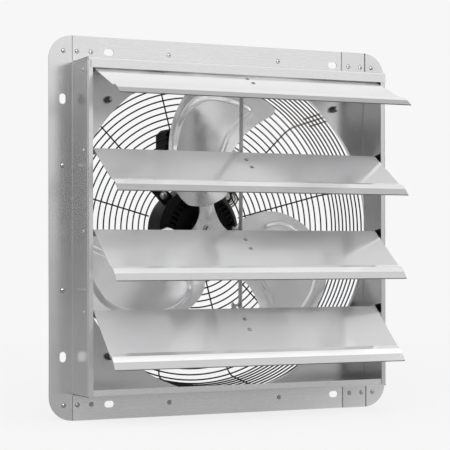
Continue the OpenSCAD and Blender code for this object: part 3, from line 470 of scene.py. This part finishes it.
# On the side pieces, painted shade goes on the sheared ends, the tab ends and a narrow band at the
# top and bottom ends of each wall, for the shadow lines of gaps and laps. The slanted faces of the
# joggles get painted shade too.
for node in ("frame_side_left", "frame_side_right"):
    side = dress(
        node,
        upright_sheet,
        "housing",
        0.0003,
        "Z",
        scores=[((0, 0, wall_end), (0, 0, 1)), ((0, 0, -wall_end), (0, 0, 1))],
    )
    refinish(side, edge_painted_shade, lambda normal, centre: abs(normal.z) > end_on)
    refinish(
        side,
        edge_painted_shade,
        lambda normal, centre: wall_end < abs(centre.z) < sleeve_top and centre.y < flange_front,
    )
    refinish(
        side,
        edge_painted_shade,
        lambda normal, centre: abs(normal.x) > end_on
        and abs(centre.z) > above_sleeve
        and abs(centre.x) < tab_reach,
    )
    refinish(
        side,
        joggle_shade,
        lambda normal, centre: slanting < abs(normal.x) < end_on
        and abs(normal.y) > facing_front
        and abs(centre.z) > above_sleeve,
    )
# The sheared ends of the top and bottom strips get painted shade, for the shadow lines at the laps.
for node in ("frame_top", "frame_bottom"):
    strip = dress(node, level_sheet, "housing", 0.0003, "X")
    refinish(strip, edge_painted_shade, lambda normal, centre: abs(normal.x) > end_on)


# The orifice panel: one flat sheet of the same aluminium riveted behind the flange, with a round
# opening whose rim is turned back into a short collar for the air.
panel_sheet = satin_sheet("satin_sheet_panel", "X", tone=0.72, rough=0.24, ripple=0.0004)
dress("orifice_panel", panel_sheet, "housing", 0.0003, "X")


# Blind rivets: domed aluminium heads with the small pit where the mandrel broke off, and painted
# shade round the rim where they meet the sheet, for the shadow of the gap under each head. Twelve
# hold the corners and eight the panel.
def plain_metal(name, tone, rough, wear, pit, tint=(1, 1, 1)):
    """Turned, pressed or plated metal: small clouds in tone and gloss and a fine grain."""
    material, tree, shader = new_finish(name, metallic=1.0)
    clouds = pattern(tree, 0.006, detail=4)
    dark = [tone * (1 - wear) * c for c in tint]
    tree.links.new(tones(tree, clouds, dark, [tone * c for c in tint]), shader.inputs["Base Color"])
    specks = pattern(tree, 0.0008, detail=3, seed=3.3)
    tree.links.new(spread(tree, specks, rough - 0.05, rough + 0.07), shader.inputs["Roughness"])
    relief(tree, shader, [(specks, pit)])
    return material


rivet_metal = plain_metal("rivet_aluminium", 0.62, rough=0.3, wear=0.14, pit=0.00002)
# Painted shade for the rims of heads, standing in for the shadow of the gap under each head.
rim_painted_shade = plain_metal("rivet_rim_painted_shade", 0.12, rough=0.4, wear=0.3, pit=0.00003)
outward = Vector((0, 1, 0))


def paint_rim_shade(heads, way, crown):
    """Paints shade on the faces that turn further from the head's own way than its crown does, for
    the shadow round the head's rim.
    """
    refinish(heads, rim_painted_shade, lambda normal, centre: abs(normal.dot(way)) < crown)


for node in ("corner_rivets", "panel_rivets"):
    paint_rim_shade(dress(node, rivet_metal, "housing", 0.00012), outward, 0.85)


# The louver bearings: black nylon blocks clipped on the inside of the side walls, one for each
# louver end, and the plated steel pins that pass through wall, block and louver ear.
def moulded(name, tone, rough, texture, tint=(1, 1, 1), gloss=0.5):
    """Moulded plastic: an even colour, a faint flow pattern and a fine eroded grain."""
    material, tree, shader = new_finish(name)
    shader.inputs["Specular IOR Level"].default_value = gloss
    flow = pattern(tree, 0.02, (1, 1, 3), detail=3)
    light = [tone * c for c in tint]
    tree.links.new(tones(tree, flow, [c * 0.8 for c in light], light), shader.inputs["Base Color"])
    erosion = pattern(tree, 0.0006, detail=4, seed=5)
    tree.links.new(spread(tree, erosion, rough - 0.06, rough + 0.08), shader.inputs["Roughness"])
    relief(tree, shader, [(erosion, texture)])
    return material


nylon = moulded("black_nylon", 0.006, rough=0.5, texture=0.00003, gloss=0.2)
dress("pivot_blocks", nylon, "housing", 0.0007)
zinc = plain_metal(
    "zinc_plate", 0.62, rough=0.27, wear=0.2, pit=0.00002, tint=(1, 0.995, 0.97)
)
pins = dress("pivot_pins", zinc, "housing", 0.0002)
# A band round each pin's dome gets painted shade, for the shadow at its rim.
dome_foot, dome_crown = 0.3, 0.6
refinish(pins, rim_painted_shade, lambda normal, centre: dome_foot < abs(normal.x) < dome_crown)


# Four louvers of thin bright aluminium, roll-formed with a fold and a lip at the front and ears
# folded down at the ends. The fold's facet is lighter by a painted highlight and the lip darker by
# painted shade, and a narrow band at the lip's front edge gets painted shade for the shadow under
# the hem. A clip is riveted under the middle of each, and the sheet springs a little, so its
# reflections waver.
louver_sheet = satin_sheet(
    "louver_sheet_level", "X", tone=0.86, rough=0.13, metal=0.6, ripple=0.0005
)
# Lit and shaded copies of the louver sheet: the lip's facet in painted shade, the fold's facet in a
# painted highlight.
lip_painted_shade = satin_sheet("louver_lip_painted_shade", "X", tone=0.55, rough=0.2, metal=0.6)
fold_painted_highlight = satin_sheet("louver_fold_painted_highlight", "X", tone=0.93, rough=0.13, metal=0.5)
bright_rivet = plain_metal("louver_rivets", 0.92, rough=0.12, wear=0.1, pit=0.00001)
clip_sheet = plain_metal("clip_sheet", 0.6, rough=0.35, wear=0.15, pit=0.00003)
fold_bend = 6
lip_bend = 15
hem_shade_width = 0.0009
same_way = 0.998


def square_to(slope):
    """The way that stands square on a sheet sloping down to the front by so many degrees."""
    return Vector((0, -math.sin(math.radians(slope)), math.cos(math.radians(slope))))


for i, slope in ((1, 22.7), (2, 32.4), (3, 37.4), (4, 42)):
    body = f"shutter_{i}"
    fold_up = square_to(slope + fold_bend)
    lip_up = square_to(slope + lip_bend)
    lip_ahead = Vector((0, -lip_up.z, lip_up.y))
    points = [v.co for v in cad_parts[f"louver_{i}"].data.vertices]
    lip_end = max(point.dot(lip_ahead) for point in points) - hem_shade_width
    leaf = dress(
        f"louver_{i}",
        louver_sheet,
        body,
        0.0002,
        "X",
        scores=[(lip_ahead * lip_end, lip_ahead)],
    )
    # Painted highlight on the fold's facet, painted shade on the lip's facet and on the band before
    # the lip's front edge, and painted shade round the rims of the rivet heads.
    refinish(leaf, fold_painted_highlight, lambda normal, centre: normal.dot(fold_up) > same_way)
    refinish(leaf, lip_painted_shade, lambda normal, centre: normal.dot(lip_up) > same_way)
    refinish(leaf, edge_painted_shade, lambda normal, centre: centre.dot(lip_ahead) > lip_end)
    heads = dress(f"bracket_rivets_{i}", bright_rivet, body, 0.00012)
    paint_rim_shade(heads, square_to(slope), 0.86)
    dress(f"louver_bracket_{i}", clip_sheet, body, 0.0002)
    dress(f"link_pin_{i}", zinc, body, 0.00015)


# The tie bar: a flat strip of dull aluminium with sheared edges, pinned to the four louver clips
# so that they open together.
bar_metal = plain_metal("tie_bar_strip", 0.52, rough=0.42, wear=0.15, pit=0.00004)
dress("tie_bar", bar_metal, "link", 0.0003)


# The guard: steel wire rings, twelve radial wires bent forward at the rim and four long U-shaped
# ears, spot welded where they cross and dipped in glossy black paint.
wire_r = 0.00115
face_y = 0.1153
spoke_y = face_y - 2 * wire_r
first_ring = 0.083
ring_pitch = 0.0095
last_face_ring = 14
last_side_ring = 26
bend_at = 0.217
bend_r = 0.022
bend_y = face_y - bend_r
rim_r = 0.2515
rim_y = 0.010
rim = Vector((rim_r - bend_at, rim_y - bend_y))
taper = math.atan2(rim.y, rim.x) + math.acos(bend_r / rim.length)
guard_turn = 14.5


def on_guard(way):
    """Radius and Y of the guard's profile, this far out from the innermost ring."""
    flat = bend_at - first_ring
    round_part = bend_r * (math.pi / 2 - taper)
    if way <= flat:
        return first_ring + way, face_y
    if way <= flat + round_part:
        a = math.pi / 2 - (way - flat) / bend_r
        return bend_at + bend_r * math.cos(a), bend_y + bend_r * math.sin(a)
    down = way - flat - round_part
    return (
        bend_at + bend_r * math.cos(taper) + down * math.sin(taper),
        bend_y + bend_r * math.sin(taper) - down * math.cos(taper),
    )


def wire_section(mesh, at, facing):
    """A round wire end: a ring of eight points at a place, square to the way the wire goes."""
    turn = Vector(facing).to_track_quat("Z", "Y").to_matrix().to_4x4()
    made = bmesh.ops.create_circle(
        mesh, cap_ends=False, radius=wire_r, segments=8, matrix=Matrix.Translation(at) @ turn
    )
    return made["verts"]


def edges_of(verts):
    """The edges between the given points."""
    chosen = set(verts)
    return [e for e in {e for v in verts for e in v.link_edges} if set(e.verts) <= chosen]


def draw_wire(mesh, verts, by):
    """Draws the wire on from its last section by a straight length."""
    made = bmesh.ops.extrude_edge_only(mesh, edges=edges_of(verts))
    ahead = [g for g in made["geom"] if isinstance(g, bmesh.types.BMVert)]
    bmesh.ops.translate(mesh, verts=ahead, vec=Vector(by))
    return ahead


def bend_wire(mesh, verts, centre, axis, angle, steps):
    """Bends the wire on from its last section round a centre."""
    made = bmesh.ops.spin(
        mesh,
        geom=list(verts) + edges_of(verts),
        cent=Vector(centre),
        axis=Vector(axis),
        angle=math.radians(angle),
        steps=steps,
    )
    return [g for g in made["geom_last"] if isinstance(g, bmesh.types.BMVert)]


def close_end(mesh, verts):
    """Caps the wire at its last section."""
    bmesh.ops.contextual_create(mesh, geom=edges_of(verts))


def closed_ring(mesh, radius, y):
    """A wire ring round the fan's axis."""
    section = wire_section(mesh, (radius, y, 0), (0, 0, 1))
    bmesh.ops.spin(
        mesh,
        geom=list(section) + edges_of(section),
        cent=(0, 0, 0),
        axis=(0, 1, 0),
        angle=math.tau,
        steps=144,
        use_merge=True,
    )


def painted(name, tone, rough, sag, gloss):
    """Black stoving paint: a glossy skin with a slight orange peel and thin dull patches."""
    material, tree, shader = new_finish(name)
    shader.inputs["Specular IOR Level"].default_value = gloss
    dust = pattern(tree, 0.015, detail=4)
    skin = tones(tree, dust, grey(tone * 0.7), grey(tone * 1.3))
    tree.links.new(skin, shader.inputs["Base Color"])
    peel = pattern(tree, 0.0015, detail=2, seed=2)
    tree.links.new(spread(tree, dust, rough - 0.05, rough + 0.1), shader.inputs["Roughness"])
    relief(tree, shader, [(peel, sag)])
    return material


wire_paint = painted("black_wire_paint", 0.005, rough=0.32, sag=0.00002, gloss=0.2)
for name, node, first, last in (
    ("face_rings", "guard_face_rings", 0, last_face_ring),
    ("side_rings", "guard_side_rings", last_face_ring + 1, last_side_ring),
):
    rings = bmesh.new()
    for i in range(first, last + 1):
        closed_ring(rings, *on_guard(i * ring_pitch))
    bmesh.ops.recalc_face_normals(rings, faces=rings.faces)
    piece_from(rings, name, wire_paint, "housing", [node], crisp=60)

spokes = bmesh.new()
panel_back = 0.0012
inner_bend_r = bend_r - 2 * wire_r
leg_top = bend_y + inner_bend_r * math.sin(taper)
leg_foot = panel_back + wire_r * math.sin(taper)
leg_len = (leg_top - leg_foot) / math.cos(taper)
spoke_start = 0.079
short_spoke_start = 0.0835
for i in range(12):
    one = bmesh.new()
    inner = short_spoke_start if i % 3 == 1 else spoke_start
    end = wire_section(one, (inner, spoke_y, 0), (1, 0, 0))
    close_end(one, end)
    end = draw_wire(one, end, (bend_at - inner, 0, 0))
    end = bend_wire(one, end, (bend_at, bend_y, 0), (0, 0, -1), 90 - math.degrees(taper), 8)
    end = draw_wire(one, end, (leg_len * math.sin(taper), -leg_len * math.cos(taper), 0))
    close_end(one, end)
    bmesh.ops.rotate(
        one,
        verts=one.verts,
        cent=(0, 0, 0),
        matrix=Matrix.Rotation(-math.radians(guard_turn + 30 * i), 3, "Y"),
    )
    wire = bpy.data.meshes.new("radial_wire")
    one.to_mesh(wire)
    one.free()
    spokes.from_mesh(wire)
    bpy.data.meshes.remove(wire)
bmesh.ops.recalc_face_normals(spokes, faces=spokes.faces)
piece_from(
    spokes, "radial_wires", wire_paint, "housing", ["guard_spokes"], crisp=60
)

dress("guard_ears", wire_paint, "housing", 0, crisp=60)
dress("motor_plates", wire_paint, "housing", 0.0004)


# Four bolts hold the guard's ears behind the panel. On the front they end in black sleeve nuts
# with a thin flange, and the bright thread stands out beyond them.
dress("guard_bolts", zinc, "housing", 0.0002)
blacked = plain_metal("blacked_steel", 0.14, rough=0.32, wear=0.3, pit=0.00003)
dress("guard_nuts", blacked, "housing", 0.0004)
dress("guard_washers", zinc, "housing", 0.0002)


# The motor: two die-cast bells with rows of vents, painted satin black, four lugs screwed to the
# guard's plates, and through-bolts. Inside lie the laminated core, the windings and the rotor.
motor_paint = painted("motor_paint", 0.004, rough=0.42, sag=0.00005, gloss=0.12)
dress("motor_front_bell", motor_paint, "housing", 0.0004)
dress("motor_rear_bell", motor_paint, "housing", 0.0004)
for node in ("bell_bolts", "lug_screws", "lug_nuts"):
    dress(node, zinc, "housing", 0.0002)


def keep_node(node, material):
    """Leaves a node's shape as it is and gives it a finish."""
    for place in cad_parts[node].material_slots:
        place.material = material


laminations, tree, shader = new_finish("steel_laminations", metallic=1.0)
layers = pattern(tree, 0.0005, (60, 1, 60), detail=1)
tree.links.new(tones(tree, layers, grey(0.16), grey(0.34)), shader.inputs["Base Color"])
tree.links.new(spread(tree, layers, 0.35, 0.6), shader.inputs["Roughness"])
relief(tree, shader, [(layers, 0.0001)])
for node in ("stator_core", "rotor_core"):
    keep_node(node, laminations)
copper, tree, shader = new_finish("varnished_copper", metallic=0.6)
turns = pattern(tree, 0.0007, (30, 1, 1), detail=2)
dark_varnish, light_varnish = (0.012, 0.006, 0.004), (0.05, 0.024, 0.014)
tree.links.new(tones(tree, turns, dark_varnish, light_varnish), shader.inputs["Base Color"])
tree.links.new(spread(tree, turns, 0.35, 0.5), shader.inputs["Roughness"])
relief(tree, shader, [(turns, 0.0003)])
keep_node("stator_windings", copper)
bright_steel = plain_metal("ground_steel", 0.58, rough=0.2, wear=0.1, pit=0.00001)
for node in ("front_bearing", "rear_bearing", "motor_shaft"):
    keep_node(node, bright_steel)


# The fan: a three-armed steel spider on a hub boss, with a rib pressed along each arm, one big
# hexagon bolt in the middle and three riveted blades of polished aluminium in front of the arms.
camber_r = 0.216
camber_t0 = -0.056
camber_y = 0.06615 - camber_r
blade_t = 0.0012
first_arm = 92.6


def smooth_loop(points, steps):
    """A closed smooth curve through points given in millimetres, as points in metres."""
    curve = []
    n = len(points)
    for i in range(n):
        a, b, c, d = (Vector(points[(i + k) % n]) for k in (-1, 0, 1, 2))
        for k in range(steps):
            s = k / steps
            at = 2 * b + (c - a) * s + (2 * a - 5 * b + 4 * c - d) * s**2
            at += (3 * b - a - 3 * c + d) * s**3
            curve.append(at * 0.0005)
    return curve


def scored_plate(outline, cell):
    """A flat plate in X and Z, cut to an outline and scored into small square cells."""
    mesh = bmesh.new()
    mesh.faces.new([mesh.verts.new((p[0], 0, p[1])) for p in outline])
    for way in (0, 2):
        places = [v.co[way] for v in mesh.verts]
        start = math.floor(min(places) / cell) + 1
        for k in range(start, math.ceil(max(places) / cell)):
            at = Vector((0, 0, 0))
            square = Vector((0, 0, 0))
            at[way] = k * cell
            square[way] = 1
            bmesh.ops.bisect_plane(
                mesh,
                geom=mesh.verts[:] + mesh.edges[:] + mesh.faces[:],
                dist=cell * 0.02,
                plane_co=at,
                plane_no=square,
            )
    return mesh


def inside_depth(point, outline):
    """How deep a point lies inside a closed outline; negative outside."""
    nearest = 1e9
    inside = False
    for a, b in zip(outline, outline[1:] + outline[:1]):
        side = b - a
        share = min(1, max(0, (point - a).dot(side) / side.length_squared))
        nearest = min(nearest, (point - a - side * share).length)
        if (a.y > point.y) != (b.y > point.y):
            if point.x < a.x + (point.y - a.y) * side.x / side.y:
                inside = not inside
    return nearest if inside else -nearest


def eased(share):
    """Goes smoothly from 0 to 1, and no further, as the share does."""
    share = min(1, max(0, share))
    return share * share * (3 - 2 * share)


def camber(radius, t):
    """The Y of a curved sheet of this radius, this far across a blade."""
    return camber_y + math.sqrt(radius * radius - (t - camber_t0) ** 2)


blade_line = smooth_loop(
    [
        (36, 20), (40, 40), (60, 61), (83, 71.5), (115, 74.5), (145, 69.5), (172, 58), (196, 41),
        (214, 23), (223, 0), (223, -30), (217, -60), (206.5, -89), (193, -113), (183, -121.5),
        (174, -118), (165, -102), (155, -86), (145, -73.5), (132, -61), (118, -50.5), (98, -42.5),
        (72, -40.5), (52, -36), (42, -19), (36, 0),
    ],
    steps=5,
)
press_line = smooth_loop(
    [
        (77, 46), (89, 57.5), (105, 61.8), (125, 61.8), (146, 56), (163, 48), (178, 37), (190, 23),
        (199, 6), (202, -12), (200.5, -34), (195, -56), (187, -77), (181, -83), (174, -79),
        (165, -65), (153, -52), (143, -43.5), (132, -37), (120, -31.5), (106, -22), (94, -4),
        (83, 20), (76, 36),
    ],
    steps=2,
)
press_height = 0.004
press_wall = 0.0055
blade_cell = 0.0028
blade_metal, tree, shader = new_finish("polished_blade", metallic=0.75)
scuffs = pattern(tree, 0.03, detail=5)
tree.links.new(tones(tree, scuffs, grey(0.9), grey(0.97)), shader.inputs["Base Color"])
tree.links.new(spread(tree, scuffs, 0.13, 0.19), shader.inputs["Roughness"])
dimples = pattern(tree, 0.004, detail=1, seed=8)
waves = pattern(tree, 0.022, detail=1)
relief(tree, shader, [(dimples, 0.00002), (waves, 0.0002)])
for k in range(3):
    blade = scored_plate(blade_line, blade_cell)
    for v in blade.verts:
        r, t = v.co.x, v.co.z
        depth = inside_depth(Vector((r, t)), press_line)
        raised = press_height * eased(0.5 + depth / press_wall)
        v.co.y = camber(camber_r - raised, t)
    bmesh.ops.recalc_face_normals(blade, faces=blade.faces)
    if sum(f.normal.y for f in blade.faces) > 0:
        bmesh.ops.reverse_faces(blade, faces=blade.faces)
    bmesh.ops.solidify(blade, geom=blade.faces[:], thickness=blade_t)
    bmesh.ops.rotate(
        blade,
        verts=blade.verts,
        cent=(0, 0, 0),
        matrix=Matrix.Rotation(-math.radians(first_arm + 120 * k), 3, "Y"),
    )
    piece_from(
        blade,
        f"pressed_blade_{k + 1}",
        blade_metal,
        "fan",
        [f"blade_{k + 1}"],
        crisp=50,
    )

spider_metal = plain_metal("spider_steel", 0.66, rough=0.3, wear=0.1, pit=0.00003)
spider_cell = 0.003
spider_t = 0.0025
hub_face_y = 0.0572
arm_half = 0.013
arm_end = 0.092
arm_end_r = 0.006
arm_lifts_at = 0.018
arm_lift_len = 0.022
rib_height = 0.0014
rib_half = 0.006
rib_from, rib_to = 0.014, 0.052
rib_run_out = 0.008
fillet_r = 0.0484
fillet_at = (arm_half + fillet_r) / math.sin(math.radians(60))
spider_line = []
for k in range(3):
    turn = Matrix.Rotation(math.radians(120 * k), 2)
    tip = []
    for s in (-1, 1):
        for step in range(7):
            a = math.radians((-90 if s < 0 else 0) + 15 * step)
            along_arm = arm_end - arm_end_r + arm_end_r * math.cos(a)
            across_arm = s * (arm_half - arm_end_r) + arm_end_r * math.sin(a)
            tip.append(Vector((along_arm, across_arm)))
    between = math.radians(60)
    middle = Vector((fillet_at * math.cos(between), fillet_at * math.sin(between)))
    hollow = []
    for step in range(13):
        a = math.radians(270 - 10 * step)
        hollow.append(middle + fillet_r * Vector((math.cos(a), math.sin(a))))
    spider_line += [turn @ p for p in tip + hollow]
spider = scored_plate(spider_line, spider_cell)
arm_turns = [math.tau * k / 3 for k in range(3)]
arm_ways = [Vector((math.cos(turn), math.sin(turn))) for turn in arm_turns]
for v in spider.verts:
    at = Vector((v.co.x, v.co.z))
    arm = max(range(3), key=lambda k: at.dot(arm_ways[k]))
    own = Matrix.Rotation(-arm_turns[arm], 2) @ at
    on_arm = eased((own.x - arm_lifts_at) / arm_lift_len)
    rib = rib_height * eased(1 - abs(own.y) / rib_half)
    rib *= eased((own.x - rib_from) / rib_run_out)
    rib *= eased((rib_to - own.x) / rib_run_out)
    v.co.y = hub_face_y * (1 - on_arm) + camber(camber_r + blade_t, own.y) * on_arm - rib
bmesh.ops.recalc_face_normals(spider, faces=spider.faces)
if sum(f.normal.y for f in spider.faces) > 0:
    bmesh.ops.reverse_faces(spider, faces=spider.faces)
bmesh.ops.solidify(spider, geom=spider.faces[:], thickness=spider_t)
bmesh.ops.rotate(
    spider,
    verts=spider.verts,
    cent=(0, 0, 0),
    matrix=Matrix.Rotation(-math.radians(first_arm), 3, "Y"),
)
piece_from(spider, "pressed_spider", spider_metal, "fan", ["fan_spider"], crisp=50)
dress("fan_hub", spider_metal, "fan", 0.0004)
# The hub bolt and the blade rivets get painted shade round their rims, for the shadow where they
# meet what they hold.
paint_rim_shade(dress("hub_bolt", zinc, "fan", 0.0004), outward, 0.9)
paint_rim_shade(dress("blade_rivets", rivet_metal, "fan", 0.0002), outward, 0.7)


# The terminal box: black moulded plastic screwed to a steel plate across the guard's inner rings,
# with a lid on its back and a gland for the supply cable. The run capacitor lies inside.
box_plastic = moulded("box_plastic", 0.003, rough=0.6, texture=0.00004, gloss=0.08)
dress("terminal_box", box_plastic, "housing", 0.0012, steps=3)
dress("box_lid", box_plastic, "housing", 0.0009, steps=3)
dress("box_bracket", wire_paint, "housing", 0.0003)
dress("cable_gland", nylon, "housing", 0.0006)
keep_node("capacitor", moulded("capacitor_case", 0.6, rough=0.4, texture=0.00002))


# The motor leads: three short wires in beige, blue and green and yellow sleeves, from the outlet
# on the rear bell up through the floor of the box. They are tied at both ends.
for node, slot_name, colour in (
    ("lead_brown", "brown_insulation", (0.66, 0.52, 0.36)),
    ("lead_blue", "blue_insulation", (0.3, 0.42, 0.55)),
    ("lead_earth", "earth_insulation", (0.55, 0.6, 0.16)),
):
    sleeve = moulded(slot_name, 1.0, rough=0.42, texture=0.00001, tint=colour)
    dress(node, sleeve, "housing", 0, crisp=60)
